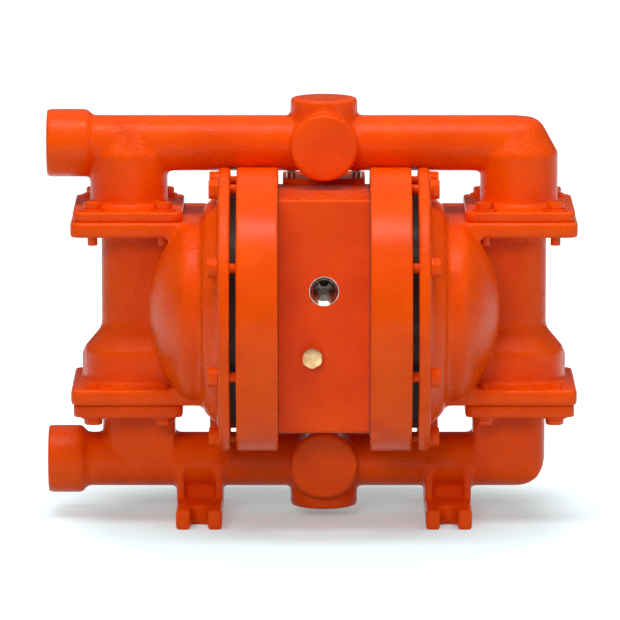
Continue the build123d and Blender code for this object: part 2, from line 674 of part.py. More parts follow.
def ball(height):
    return Pos(COLUMN_REACH, 0, height) * Sphere(BALL_R)


# ---------------------------------------------------------------- manifolds
def flange(low, high):
    """Flange on the right column."""
    body = block((COLUMN_REACH - FLANGE_WIDTH / 2, COLUMN_REACH + FLANGE_WIDTH / 2),
                 (-FLANGE_DEPTH / 2, FLANGE_DEPTH / 2), (low, high))
    return fillet(body.edges().filter_by(Axis.Z), FLANGE_CORNER)


def flange_holes(low, high):
    holes = [rod_z(low, high, BOLT_R + BOLT_HOLE_GAP, x, y) for x, y in plate_bolt_places()]
    return holes


def port_end(height, pipe_r, length):
    """Threaded end boss on the left with its taper down to the pipe."""
    boss_end = -PORT_REACH + length
    boss = rod_x(-PORT_REACH, boss_end, PORT_R, z=height)
    boss = fillet(boss.edges().group_by(Axis.X)[0], BOSS_ROUND)
    taper = Cone(PORT_R, pipe_r, PORT_TAPER, align=UPWARD)
    return boss + Pos(boss_end, 0, height) * Rot(0, 90, 0) * taper


def port_bore(height, bore_r, end):
    bore = rod_x(-PORT_REACH, end, bore_r, z=height)
    return bore + rod_x(-PORT_REACH, -PORT_REACH + PORT_THREAD_DEPTH, PORT_THREAD_R, z=height)


def round_boss(solid, axis, last):
    """Rounds the face edge of a boss at one end of an axis."""
    return fillet(solid.edges().group_by(axis)[last], BOSS_ROUND)


def discharge_leg():
    """Right leg: a shouldered tower that closes in above the ball cage, on its flange."""
    top = DISCHARGE_AXIS + PIPE_R - LEG_TOP_SINK
    flange_top = TOP_FACE + DISCHARGE_FLANGE
    corners = [
        (0, TOP_FACE + 2, 0), (LEG_R + 7, TOP_FACE + 2, 0), (LEG_R + 7, flange_top, 0),
        (LEG_R, flange_top, LEG_BASE_FILLET), (LEG_R, ROD_HEIGHT + LEG_SHOULDER_RISE, 3),
        (LEG_TOP_R, top, LEG_TOP_ROUND), (0, top, 0),
    ]
    return turned(corners, COLUMN_AXIS)


def discharge_leg_bore():
    roof = cage_roof(DISCHARGE_BALL, LEG_CAGE_R)
    corners = sharp([
        (0, TOP_FACE), (LEG_CAGE_R, TOP_FACE), (LEG_CAGE_R, roof),
        (LEG_BORE_R, roof + LEG_CAGE_R - LEG_BORE_R), (LEG_BORE_R, DISCHARGE_AXIS), (0, DISCHARGE_AXIS),
    ])
    return turned(corners, COLUMN_AXIS)


def discharge_manifold():
    body = rod_x(-PORT_REACH + PORT_LENGTH, COLUMN_REACH, PIPE_R, z=DISCHARGE_AXIS)
    body += port_end(DISCHARGE_AXIS, PIPE_R, PORT_LENGTH)
    leg = discharge_leg() + flange(TOP_FACE, TOP_FACE + DISCHARGE_FLANGE)
    body = body + leg + half_turned(leg)
    body += round_boss(rod_z(DISCHARGE_AXIS, ROD_HEIGHT + TOP_BOSS_RISE, BOSS_R, 0), Axis.Z, -1)
    body += round_boss(rod_y(-FRONT_BOSS, 0, BOSS_R, 0, DISCHARGE_AXIS), Axis.Y, 0)
    body -= port_bore(DISCHARGE_AXIS, BORE_R, COLUMN_REACH)
    bore = discharge_leg_bore()
    body = body - bore - half_turned(bore)
    for rib in guide_ribs(LEG_CAGE_R, TOP_FACE + 4, cage_roof(DISCHARGE_BALL, LEG_CAGE_R)):
        body = body + rib + half_turned(rib)
    for hole in flange_holes(TOP_FACE, TOP_FACE + DISCHARGE_FLANGE):
        body = body - hole - half_turned(hole)
    return body


def inlet_leg():
    """Right leg: as deep as the pipe, flat in front, with the elbow rounded in plan and from the front."""
    flange_low = BOTTOM_FACE - INLET_FLANGE
    bottom = INLET_AXIS - INLET_PIPE_R
    front_view = outline([
        (INLET_LEG_INNER_REACH, bottom, 0), (INLET_LEG_OUTER_REACH, bottom, INLET_ELBOW_R),
        (INLET_LEG_OUTER_REACH, BOTTOM_FACE - 2, 0), (INLET_LEG_INNER_REACH, BOTTOM_FACE - 2, 0),
    ])
    body = extrude(Plane.XZ.offset(-INLET_PIPE_R) * front_view, 2 * INLET_PIPE_R)
    plan = outline([
        (INLET_LEG_INNER_REACH, -INLET_PIPE_R, 5), (INLET_LEG_OUTER_REACH, -INLET_PIPE_R, INLET_LEG_CORNER),
        (INLET_LEG_OUTER_REACH, INLET_PIPE_R, INLET_LEG_CORNER), (INLET_LEG_INNER_REACH, INLET_PIPE_R, 5),
    ])
    body &= extrude(Plane.XY.offset(bottom) * plan, BOTTOM_FACE - bottom)
    trough = rod_x(INLET_LEG_INNER_REACH, INLET_LEG_OUTER_REACH, INLET_PIPE_R, z=INLET_AXIS)
    trough += block((INLET_LEG_INNER_REACH, INLET_LEG_OUTER_REACH), (-INLET_PIPE_R, INLET_PIPE_R),
                    (INLET_AXIS, BOTTOM_FACE))
    body &= trough
    return body + flange(flange_low, BOTTOM_FACE)


def foot():
    """Right foot: a slotted pad with two ribs and a web up to the pipe."""
    half, length = FOOT_WIDTH / 2, FOOT_LENGTH / 2
    slot, slot_end = FOOT_SLOT_WIDTH / 2, FOOT_LENGTH / 2 - FOOT_SLOT_LENGTH
    pad = block((FOOT_REACH - half, FOOT_REACH + half), (-length, length), (0, FOOT_THICK))
    pad = fillet(pad.edges().filter_by(Axis.Z), FOOT_ROUND)
    for side in (-1, 1):
        middle = side * (slot_end + slot)
        pad -= rod_z(0, FOOT_THICK, slot, FOOT_REACH, middle)
        low, high = sorted((middle, side * length))
        pad -= block((FOOT_REACH - slot, FOOT_REACH + slot), (low, high), (0, FOOT_THICK))
    for x in (-half, half - FOOT_RIB):
        pad += block((FOOT_REACH + x, FOOT_REACH + x + FOOT_RIB), (-FOOT_RIB_DEPTH / 2, FOOT_RIB_DEPTH / 2),
                     (FOOT_THICK / 2, INLET_AXIS))
    pad += block((FOOT_REACH - half, FOOT_REACH + half), (-FOOT_WEB_DEPTH / 2, FOOT_WEB_DEPTH / 2),
                 (FOOT_THICK / 2, INLET_AXIS))
    return pad


def inlet_manifold():
    body = rod_x(-PORT_REACH + INLET_PORT_LENGTH, COLUMN_REACH, INLET_PIPE_R, z=INLET_AXIS)
    body += port_end(INLET_AXIS, INLET_PIPE_R, INLET_PORT_LENGTH)
    for piece in (inlet_leg(), foot()):
        body = body + piece + half_turned(piece)
    body += round_boss(rod_z(ROD_HEIGHT - BOTTOM_BOSS_DROP, INLET_AXIS, BOSS_R, 0), Axis.Z, 0)
    body += round_boss(rod_y(-FRONT_BOSS, 0, BOSS_R, 0, INLET_AXIS), Axis.Y, 0)
    body -= port_bore(INLET_AXIS, INLET_BORE_R, COLUMN_REACH)
    bore = rod_z(INLET_AXIS, BOTTOM_FACE, INLET_BORE_R, COLUMN_REACH)
    body = body - bore - half_turned(bore)
    for hole in flange_holes(BOTTOM_FACE - INLET_FLANGE, BOTTOM_FACE):
        body = body - hole - half_turned(hole)
    return body


def plate_bolts(joint_face, flange_thick, plate_thick, tail, up):
    """Bolts of one manifold on the right column, heads away from the chamber."""
    length = PLATE_WASHER + flange_thick + plate_thick + tail
    item = bolt(PLATE_BOLT_HEX, PLATE_BOLT_HEAD, BOLT_R, length)
    level = joint_face + up * (flange_thick + PLATE_WASHER)
    turn = Rot(0, 0, 0) if up > 0 else Rot(180, 0, 0)
    return [Pos(x, y, level) * turn * item for x, y in plate_bolt_places()]


def plate_washers(joint_face, flange_thick, up):
    low = joint_face + flange_thick if up > 0 else joint_face - flange_thick - PLATE_WASHER
    item = ring(PLATE_WASHER_R, BOLT_R + BOLT_HOLE_GAP / 2, PLATE_WASHER)
    return [Pos(x, y, low) * item for x, y in plate_bolt_places()]


# ---------------------------------------------------------------- moving rod
def diaphragm_rod():
    rod = rod_x(-ROD_SHOULDER, ROD_SHOULDER, ROD_R)
    return rod + rod_x(-ROD_SHOULDER - ROD_STUD, ROD_SHOULDER + ROD_STUD, ROD_STUD_R)


def inner_piston():
    corners = [
        (DIAPHRAGM_INNER - INNER_PISTON_THICK, ROD_STUD_R + THREAD_GAP, 0),
        (DIAPHRAGM_INNER - INNER_PISTON_THICK, INNER_PISTON_R - 14, 4),
        (DIAPHRAGM_INNER - 4, INNER_PISTON_R, 2),
        (DIAPHRAGM_INNER, INNER_PISTON_R, 0),
        (DIAPHRAGM_INNER, ROD_STUD_R + THREAD_GAP, 0),
    ]
    return turned(corners, ROD_AXIS)


def outer_piston():
    """Domed disc on the liquid side, screwed on the rod's stud."""
    end = DIAPHRAGM_OUTER + OUTER_PISTON_THICK
    stud_end = ROD_SHOULDER + ROD_STUD
    corners = [
        (DIAPHRAGM_OUTER, ROD_STUD_R + THREAD_GAP, 0), (DIAPHRAGM_OUTER, OUTER_PISTON_R, 2),
        (DIAPHRAGM_OUTER + 5, OUTER_PISTON_R, 3), (end, OUTER_PISTON_R / 2, 12), (end, 0, 0),
        (stud_end, 0, 0), (stud_end, ROD_STUD_R + THREAD_GAP, 0),
    ]
    return turned(corners, ROD_AXIS)


def diaphragm():
    """Clamped bead, one rolled fold and a flat middle between the pistons."""
    foot_z = ROD_HEIGHT + INNER_PISTON_R + 2
    clamp_z = ROD_HEIGHT + BOWL_MOUTH_R
    hole_z = ROD_HEIGHT + ROD_STUD_R + THREAD_GAP
    bead_z = ROD_HEIGHT + BEAD_R
    mid_z = (foot_z + clamp_z) / 2
    outer_roll = ThreePointArc((DIAPHRAGM_OUTER, foot_z), (DIAPHRAGM_OUTER + ROLL_HEIGHT, mid_z),
                               (DIAPHRAGM_OUTER, clamp_z))
    inner_roll = ThreePointArc((DIAPHRAGM_INNER, foot_z), (DIAPHRAGM_INNER + ROLL_HEIGHT, mid_z),
                               (DIAPHRAGM_INNER, clamp_z))
    bead = Polyline((DIAPHRAGM_OUTER, clamp_z), (LIQUID_FACE, clamp_z), (LIQUID_FACE, bead_z),
                    (CHAMBER_FACE, bead_z), (CHAMBER_FACE, clamp_z), (DIAPHRAGM_INNER, clamp_z))
    middle = Polyline((DIAPHRAGM_INNER, foot_z), (DIAPHRAGM_INNER, hole_z), (DIAPHRAGM_OUTER, hole_z),
                      (DIAPHRAGM_OUTER, foot_z))
    return revolve(Plane.XZ * make_face([outer_roll, bead, inner_roll, middle]), ROD_AXIS)


# ---------------------------------------------------------------- pilot valve and air valve
def pilot_spool():
    """Pin that an inner piston pushes across at each end of the stroke."""
    pin_end = ROD_SHOULDER - STROKE - PILOT_TRAVEL - PILOT_PIN_GAP
    z = ROD_HEIGHT + PILOT_RISE
    spool = rod_x(-pin_end, pin_end, PILOT_PIN_R, z=z)
    for middle in (-PILOT_LAND_REACH, 0, PILOT_LAND_REACH):
        spool += rod_x(middle - PILOT_LAND / 2, middle + PILOT_LAND / 2, PILOT_LAND_R, z=z)
    return spool


def pilot_sleeve():
    half = BLOCK_WIDTH / 2
    z = ROD_HEIGHT + PILOT_RISE
    return rod_x(-half, half, PILOT_SLEEVE_R - FIT, z=z) - rod_x(-half, half, PILOT_LAND_R + RUNNING_GAP, z=z)


def valve_ports(start, end):
    """Drillings across the joint between the block and the air valve."""
    ports = rod_y(start, end, SUPPLY_R, 0, ROD_HEIGHT + AIR_INLET_RISE)
    for side in (-1, 1):
        ports += rod_y(start, end, CHAMBER_PORT_R, side * VALVE_PORT_OFFSET, port_height(side))
    return ports


def air_valve_gasket():
    half = VALVE_WIDTH / 2
    sheet = block((-half, half), (BLOCK_REAR, VALVE_FRONT),
                  (VALVE_BOTTOM, ROD_HEIGHT + BLOCK_HEIGHT / 2 - BLOCK_ROUND))
    sheet -= valve_ports(BLOCK_REAR, VALVE_FRONT)
    for x, z in valve_screw_places():
        sheet -= rod_y(BLOCK_REAR, VALVE_FRONT, SCREW_R + BOLT_HOLE_GAP, x, z)
    return sheet


def air_valve_body():
    half = VALVE_WIDTH / 2
    body = block((-half, half), (VALVE_FRONT, VALVE_BACK), (VALVE_BOTTOM, VALVE_TOP))
    body = fillet(body.edges().filter_by(Axis.Z).group_by(Axis.Y)[-1], VALVE_ROUND)
    body -= rod_z(VALVE_BOTTOM, VALVE_TOP, VALVE_BORE_R, 0, VALVE_AXIS)
    body -= valve_ports(VALVE_FRONT, VALVE_AXIS)
    body -= rod_y(VALVE_AXIS, VALVE_BACK, EXHAUST_R - 2, 0, ROD_HEIGHT - EXHAUST_DROP)
    body -= rod_y(VALVE_BACK - EXHAUST_DEPTH, VALVE_BACK, EXHAUST_R, 0, ROD_HEIGHT - EXHAUST_DROP)
    for x, z in valve_screw_places():
        body -= rod_y(VALVE_FRONT, VALVE_BACK, SCREW_R + BOLT_HOLE_GAP, x, z)
    for x, y in cap_screw_places():
        body -= rod_z(VALVE_TOP - CAP_SCREW_GRIP - PAST, VALVE_TOP, CAP_SCREW_R + THREAD_GAP, x, y)
        body -= rod_z(VALVE_BOTTOM, VALVE_BOTTOM + CAP_SCREW_GRIP + PAST, CAP_SCREW_R + THREAD_GAP, x, y)
    return body


def valve_cap(up):
    """End cap with its rubber-faced bumper in the bore."""
    half = VALVE_WIDTH / 2
    face = VALVE_TOP if up else VALVE_BOTTOM
    low, high = (face, face + CAP_THICK) if up else (face - CAP_THICK, face)
    cap = block((-half, half), (VALVE_FRONT, VALVE_BACK), (low, high))
    cap = fillet(cap.edges().filter_by(Axis.Z).group_by(Axis.Y)[-1], VALVE_ROUND)
    bumper_low = face - BUMPER if up else face
    cap += rod_z(bumper_low, bumper_low + BUMPER, BUMPER_R, 0, VALVE_AXIS)
    for x, y in cap_screw_places():
        cap -= rod_z(low, high, CAP_SCREW_R + BOLT_HOLE_GAP, x, y)
    return cap


def air_valve_spool():
    """Vertical spool, at rest on the lower bumper."""
    low = VALVE_BOTTOM + BUMPER
    high = VALVE_TOP - BUMPER - SPOOL_TRAVEL
    spool = rod_z(low, high, SPOOL_NECK_R, 0, VALVE_AXIS)
    step = (high - low - SPOOL_LAND) / 3
    for i in range(4):
        start = low + i * step
        spool += rod_z(start, start + SPOOL_LAND, VALVE_BORE_R - RUNNING_GAP, 0, VALVE_AXIS)
    return spool


def air_valve_screws():
    screw = Rot(-90, 0, 0) * cap_screw(SCREW_R, SCREW_HEAD_R, SCREW_HEAD, VALVE_DEPTH + SHEET + SCREW_GRIP)
    return [Pos(x, VALVE_BACK, z) * screw for x, z in valve_screw_places()]


def air_valve_cap_screws():
    screw = cap_screw(CAP_SCREW_R, CAP_SCREW_HEAD_R, CAP_SCREW_HEAD, CAP_THICK + CAP_SCREW_GRIP)
    over = [Pos(x, y, VALVE_TOP + CAP_THICK) * screw for x, y in cap_screw_places()]
    under = [Pos(x, y, VALVE_BOTTOM - CAP_THICK) * Rot(180, 0, 0) * screw for x, y in cap_screw_places()]
    return over + under


# ---------------------------------------------------------------- writing
def save(name, solids):
    """Writes one node, a solid or a list of separate solids."""
    if isinstance(solids, list):
        solids = Compound(children=solids)
    export_step(solids, f"parts/{name}.step")


def save_pair(name, right):
    """Writes a piece of the right side and its mirror image on the left."""
    pieces = right if isinstance(right, list) else [right]
    save(f"{name}_right", right)
    save(f"{name}_left", [left_of(piece) for piece in pieces] if isinstance(right, list) else left_of(right))


def save_both(name, right):
    """Writes the pieces of both columns as one node."""
    pieces = set_back(right)
    save(name, pieces + [left_of(piece) for piece in pieces])


def main():
    os.makedirs("parts", exist_ok=True)

    save("center_block", center_block())
    save("pipe_plug", pipe_plug())
    save_pair("shaft_bush", shaft_bush())
    save_pair("shaft_seal", shaft_seal())
    save_pair("air_chamber_screws", air_chamber_screws())
    save("air_chamber_right", air_chamber(1))
    save("air_chamber_left", left_of(air_chamber(-1)))
    save("air_chamber_gasket_right", chamber_gasket(1))
    save("air_chamber_gasket_left", left_of(chamber_gasket(-1)))

    save_pair("liquid_chamber", liquid_chamber())
    save_pair("chamber_bolts", rim_bolts())
    save_pair("chamber_washers", rim_washers())

    top_seat = TOP_FACE - SEAT_HEIGHT
    save_pair("discharge_seat", set_back(valve_seat(top_seat, DISCHARGE_BALL, ring_below=False)))
    save_pair("discharge_seat_ring", set_back(seal_ring(top_seat, ring_below=False)))
    save_pair("discharge_ball", set_back(ball(DISCHARGE_BALL)))
    save_pair("inlet_seat", set_back(valve_seat(BOTTOM_FACE, INLET_BALL, ring_below=True)))
    save_pair("inlet_seat_ring", set_back(seal_ring(BOTTOM_FACE, ring_below=True)))
    save_pair("inlet_ball", set_back(ball(INLET_BALL)))

    save("discharge_manifold", set_back(discharge_manifold()))
    save("inlet_manifold", set_back(inlet_manifold()))
    save_both("discharge_bolts",
              plate_bolts(TOP_FACE, DISCHARGE_FLANGE, TOP_PLATE, TOP_BOLT_TAIL, 1))
    save_both("discharge_washers", plate_washers(TOP_FACE, DISCHARGE_FLANGE, 1))
    save_both("inlet_bolts",
              plate_bolts(BOTTOM_FACE, INLET_FLANGE, BOTTOM_PLATE, BOTTOM_BOLT_TAIL, -1))
    save_both("inlet_washers", plate_washers(BOTTOM_FACE, INLET_FLANGE, -1))

    save("diaphragm_rod", diaphragm_rod())
    save_pair("inner_piston", inner_piston())
    save_pair("outer_piston", outer_piston())
    save_pair("diaphragm", diaphragm())

    save("pilot_spool", pilot_spool())
    save("pilot_sleeve", pilot_sleeve())
    save("air_valve_body", air_valve_body())
    save("air_valve_gasket", air_valve_gasket())
    save("air_valve_spool", air_valve_spool())
    save("air_valve_cap_top", valve_cap(True))
    save("air_valve_cap_bottom", valve_cap(False))
    save("air_valve_screws", air_valve_screws())
    save("air_valve_cap_screws", air_valve_cap_screws())


main()
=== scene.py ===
"""Dresses the air operated diaphragm pump: cast skins, threads, finishes and the studio."""
import json
import logging
import math
from dataclasses import dataclass
from enum import Enum
from typing import Dict, Optional, Sequence, Tuple, Union

import bpy
from mathutils import Euler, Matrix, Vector


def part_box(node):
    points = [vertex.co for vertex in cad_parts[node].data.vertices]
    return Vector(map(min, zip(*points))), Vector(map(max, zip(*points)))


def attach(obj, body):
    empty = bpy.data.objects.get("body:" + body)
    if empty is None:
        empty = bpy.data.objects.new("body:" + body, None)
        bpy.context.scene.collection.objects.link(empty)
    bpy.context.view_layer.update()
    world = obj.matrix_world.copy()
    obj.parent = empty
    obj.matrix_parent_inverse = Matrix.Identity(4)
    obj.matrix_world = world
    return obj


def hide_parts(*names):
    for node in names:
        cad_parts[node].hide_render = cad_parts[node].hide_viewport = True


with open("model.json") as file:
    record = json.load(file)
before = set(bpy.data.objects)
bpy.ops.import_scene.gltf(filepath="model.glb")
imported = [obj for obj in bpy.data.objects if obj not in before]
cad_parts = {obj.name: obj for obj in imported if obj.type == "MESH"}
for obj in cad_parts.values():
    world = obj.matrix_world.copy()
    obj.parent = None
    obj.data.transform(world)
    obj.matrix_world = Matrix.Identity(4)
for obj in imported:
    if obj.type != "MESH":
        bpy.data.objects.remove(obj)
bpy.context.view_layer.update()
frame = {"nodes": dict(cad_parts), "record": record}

log = logging.getLogger("pump")

MM = 0.001
PUMP = "pump"
HAIR = 0.002 * MM             # points nearer than this are one point
CAD_HAIR = 0.01 * MM          # the same, for the CAD's loose triangles
Colour = Tuple[float, float, float]
Place = Tuple[float, float, float]
Range = Tuple[float, float]

WHITE = (1.0, 1.0, 1.0, 1.0)
MANIFOLD_VOXEL = 2.3 * MM     # fineness of a cast skin
CHAMBER_VOXEL = 2.6 * MM
COLOUR_CONTRAST: Range = (0.35, 0.7)    # part of a cloudy pattern that goes from one colour to the other
GLOSS_CONTRAST: Range = (0.3, 0.7)      # the same, for the roughness


class Along(Enum):
    """The axis that a turned piece is made along, and the turn that carries +Z onto it."""

    RIGHT = (0.0, math.pi / 2, 0.0)
    BACK = (-math.pi / 2, 0.0, 0.0)


def written(colour: Sequence[int]) -> Colour:
    """Turns a colour written as 0 to 255 steps into the linear values that a shader takes.

    Args:
        colour: Red, green and blue, each from 0 to 255.

    Returns:
        The same colour in linear light.
    """
    steps = [step / 255 for step in colour]
    return tuple(step / 12.92 if step <= 0.04045 else ((step + 0.055) / 1.055) ** 2.4
                 for step in steps)


class Nodes:
    """Writes a node tree, for a material or for the room."""

    def __init__(self, tree: bpy.types.NodeTree) -> None:
        """Empties a tree.

        Args:
            tree: Where the nodes go.
        """
        self.tree = tree
        self.tree.nodes.clear()

    def add(self, kind: str, **sockets: float) -> bpy.types.Node:
        """Adds a node.

        Args:
            kind: Blender's name of the node type.
            **sockets: Values of its inputs, by name with _ for a space.

        Returns:
            The new node.
        """
        node = self.tree.nodes.new(kind)
        for name, value in sockets.items():
            node.inputs[name.replace("_", " ")].default_value = value
        return node

    def join(self, source: bpy.types.NodeSocket, target: bpy.types.NodeSocket) -> None:
        """Links an output to an input."""
        self.tree.links.new(source, target)

    def place(self, kind: str = "Object") -> bpy.types.NodeSocket:
        """The coordinates of a point, in metres for an object and as a direction for the room."""
        return self.add("ShaderNodeTexCoord").outputs[kind]

    def sight(self, *rays: str) -> bpy.types.NodeSocket:
        """1 for the named kinds of ray and 0 for all others."""
        seen = self.add("ShaderNodeLightPath")
        found = seen.outputs[rays[0]]
        for ray in rays[1:]:
            found = self.combine("MAXIMUM", found, seen.outputs[ray])
        return found

    def combine(self, kind: str, first: bpy.types.NodeSocket,
                second: bpy.types.NodeSocket) -> bpy.types.NodeSocket:
        """Works out one value from two, by an operation such as MULTIPLY."""
        node = self.add("ShaderNodeMath")
        node.operation = kind
        self.join(first, node.inputs[0])
        self.join(second, node.inputs[1])
        return node.outputs[0]

    def span(self, source: bpy.types.NodeSocket, low: float, high: float,
             start: float = 0.0, end: float = 1.0) -> bpy.types.NodeSocket:
        """Stretches a pattern's values.

        Args:
            source: The pattern.
            low: Value of the pattern that becomes start.
            high: Value of the pattern that becomes end.
            start: New lowest value.
            end: New highest value.

        Returns:
            The stretched pattern.
        """
        node = self.add("ShaderNodeMapRange", From_Min=low, From_Max=high, To_Min=start, To_Max=end)
        self.join(source, node.inputs["Value"])
        return node.outputs["Result"]


class Pen(Nodes):
    """Writes the node tree of one material."""

    def __init__(self, name: str) -> None:
        """Starts a material with a shader and an output.

        Args:
            name: Name of the material.
        """
        self.material = bpy.data.materials.new(name)
        self.material.use_nodes = True
        super().__init__(self.material.node_tree)
        output = self.add("ShaderNodeOutputMaterial")
        self.shader = self.add("ShaderNodeBsdfPrincipled")
        self.join(self.shader.outputs["BSDF"], output.inputs["Surface"])
        self.point = self.place()

    def noise(self, size: float, detail: float = 3.0,
              roughness: float = 0.5) -> bpy.types.NodeSocket:
        """Cloudy pattern whose patches are about size metres wide.

        Args:
            size: Width of a patch in metres.
            detail: Number of finer layers.
            roughness: Strength of the finer layers.

        Returns:
            The pattern's output, from 0 to 1.
        """
        node = self.add("ShaderNodeTexNoise", Scale=1 / size, Detail=detail, Roughness=roughness)
        self.join(self.point, node.inputs["Vector"])
        return node.outputs["Fac"]

    def pebbles(self, size: float) -> bpy.types.NodeSocket:
        """Smooth rounded cells about size metres wide, as sand leaves on a casting."""
        node = self.add("ShaderNodeTexVoronoi", Scale=1 / size)
        node.feature = "SMOOTH_F1"
        self.join(self.point, node.inputs["Vector"])
        return node.outputs["Distance"]

    def colour_between(self, pattern: bpy.types.NodeSocket, first: Colour, second: Colour) -> None:
        """Colours the shader from first to second as the pattern goes from 0 to 1."""
        node = self.add("ShaderNodeMix")
        node.data_type = "RGBA"
        ends = [socket for socket in node.inputs if socket.type == "RGBA"]
        for end, colour in zip(ends, (first, second)):
            end.default_value = (*colour, 1)
        mixed = next(socket for socket in node.outputs if socket.type == "RGBA")
        self.join(pattern, node.inputs["Factor"])
        self.join(mixed, self.shader.inputs["Base Color"])

    def relief(self, pattern: bpy.types.NodeSocket, height: float,
               under: Optional[bpy.types.NodeSocket] = None) -> bpy.types.NodeSocket:
        """Raises the surface by the pattern.

        Args:
            pattern: What to raise, from 0 to 1.
            height: How far, in metres.
            under: Relief that this one lies on.

        Returns:
            The surface's direction, for the shader's Normal.
        """
        node = self.add("ShaderNodeBump", Strength=1.0, Distance=height)
        self.join(pattern, node.inputs["Height"])
        if under is not None:
            self.join(under, node.inputs["Normal"])
        return node.outputs["Normal"]

    def finish(self, roughness: bpy.types.NodeSocket,
               normal: bpy.types.NodeSocket) -> bpy.types.Material:
        """Joins the last two inputs of the shader and hands over the material."""
        self.join(roughness, self.shader.inputs["Roughness"])
        self.join(normal, self.shader.inputs["Normal"])
        return self.material


@dataclass(frozen=True)
class Enamel:
    """Sprayed enamel on iron.

    Attributes:
        name: Name of the material.
        grain: Width of the sand grains that show through, in metres.
        grain_height: How far they stand out, in metres.
        roughness: Lowest and highest roughness.
        colour: Usual colour.
        thin: Colour where the coat is thin or dusty.
        patch: Width of the thin patches.
        swell: Width of the slow waves in the surface.
        swell_height: Their height, in grain heights.
        speck: Width of the finest specks, in grains.
        speck_height: Their height, in grain heights.
        gloss_patch: Width of the patches of equal gloss.
        mirror: How strongly the coat mirrors, from 0 to 1.
    """

    name: str
    grain: float
    grain_height: float
    roughness: Range = (0.2, 0.3)
    colour: Colour = written((238, 78, 0))
    thin: Colour = written((226, 68, 0))
    patch: float = 45 * MM
    swell: float = 18 * MM
    swell_height: float = 2.2
    speck: float = 0.45
    speck_height: float = 0.5
    gloss_patch: float = 12 * MM
    mirror: float = 0.13

    def material(self) -> bpy.types.Material:
        """Makes the material."""
        pen = Pen(self.name)
        pen.colour_between(pen.span(pen.noise(self.patch), *COLOUR_CONTRAST), self.colour, self.thin)
        pen.shader.inputs["Specular IOR Level"].default_value = self.mirror
        swell = pen.relief(pen.noise(self.swell, 2.0), self.grain_height * self.swell_height)
        grains = pen.relief(pen.pebbles(self.grain), self.grain_height, swell)
        specks = pen.noise(self.grain * self.speck, 2.0, 0.6)
        fine = pen.relief(specks, self.grain_height * self.speck_height, grains)
        gloss = pen.span(pen.noise(self.gloss_patch), *GLOSS_CONTRAST, *self.roughness)
        return pen.finish(gloss, fine)


@dataclass(frozen=True)
class Metal:
    """Bare metal with fine tool marks.

    Attributes:
        name: Name of the material.
        colour: Usual colour.
        dull: Colour where it has dulled.
        roughness: Lowest and highest roughness.
        marks: Width of the marks in metres.
        marks_height: Depth of the marks in metres.
        patch: Width of the dulled patches.
        gloss_patch: Width of the patches of equal gloss.
    """

    name: str
    colour: Colour
    dull: Colour
    roughness: Range = (0.22, 0.42)
    marks: float = 1.2 * MM
    marks_height: float = 0.02 * MM
    patch: float = 8 * MM
    gloss_patch: float = 4 * MM

    def material(self) -> bpy.types.Material:
        """Makes the material."""
        pen = Pen(self.name)
        pen.shader.inputs["Metallic"].default_value = 1.0
        pen.colour_between(pen.span(pen.noise(self.patch), *COLOUR_CONTRAST), self.colour, self.dull)
        marks = pen.relief(pen.noise(self.marks, 2.0), self.marks_height)
        gloss = pen.span(pen.noise(self.gloss_patch), *GLOSS_CONTRAST, *self.roughness)
        return pen.finish(gloss, marks)


@dataclass(frozen=True)
class Moulded:
    """Rubber, plastic or pressed fibre.

    Attributes:
        name: Name of the material.
        colour: Usual colour.
        worn: Colour of the paler patches.
        roughness: Lowest and highest roughness.
        grain: Width of the surface grain in metres.
        grain_height: Height of the surface grain in metres.
        patch: Width of the paler patches.
        gloss_patch: Width of the patches of equal gloss.
    """

    name: str
    colour: Colour
    worn: Colour
    roughness: Range = (0.45, 0.65)
    grain: float = 0.9 * MM
    grain_height: float = 0.03 * MM
    patch: float = 20 * MM
    gloss_patch: float = 10 * MM

    def material(self) -> bpy.types.Material:
        """Makes the material."""
        pen = Pen(self.name)
        pen.colour_between(pen.span(pen.noise(self.patch), *COLOUR_CONTRAST), self.colour, self.worn)
        grain = pen.relief(pen.noise(self.grain, 2.0), self.grain_height)
        gloss = pen.span(pen.noise(self.gloss_patch), *GLOSS_CONTRAST, *self.roughness)
        return pen.finish(gloss, grain)


CAST = Enamel("cast_enamel", grain=2.1 * MM, grain_height=0.34 * MM)
SMOOTH = Enamel("smooth_enamel", grain=1.5 * MM, grain_height=0.035 * MM, roughness=(0.22, 0.32))
BOLT = Enamel("bolt_enamel", grain=1.1 * MM, grain_height=0.04 * MM)
BARE_IRON = Metal("bare_iron", written((196, 188, 178)), written((150, 140, 130)), (0.18, 0.34))
BRASS = Metal("brass", written((236, 198, 148)), written((216, 174, 118)), (0.3, 0.45))
STEEL = Metal("steel", written((186, 188, 190)), written((160, 162, 166)))
ZINC = Metal("zinc_plate", written((198, 200, 198)), written((172, 174, 170)))
ALUMINIUM = Metal("aluminium", written((206, 208, 210)), written((184, 186, 190)), (0.3, 0.5))
BRONZE = Metal("bronze", written((190, 142, 84)), written((158, 112, 62)))
BLACK_RUBBER = Moulded("black_rubber", written((34, 33, 33)), written((48, 46, 45)))
WHITE_BALL = Moulded("white_ball", written((226, 224, 216)), written((212, 208, 198)), (0.3, 0.45))
# painted shade: a matte near-black that stands in for the shade deep in the air inlet's passage
SHADOW = Moulded("passage_painted_shade", written((20, 18, 17)), written((30, 27, 25)), (0.7, 0.9))
FIBRE = Moulded("gasket_fibre", written((58, 62, 60)), written((76, 78, 74)), (0.6, 0.8))


@dataclass(frozen=True)
class Ring:
    """One ring of a turned piece, in millimetres.

    Attributes:
        radius: Its radius.
        height: Its height along the piece.
        aside: How far its middle lies towards local +Y.
    """

    radius: float
    height: float
    aside: float = 0.0


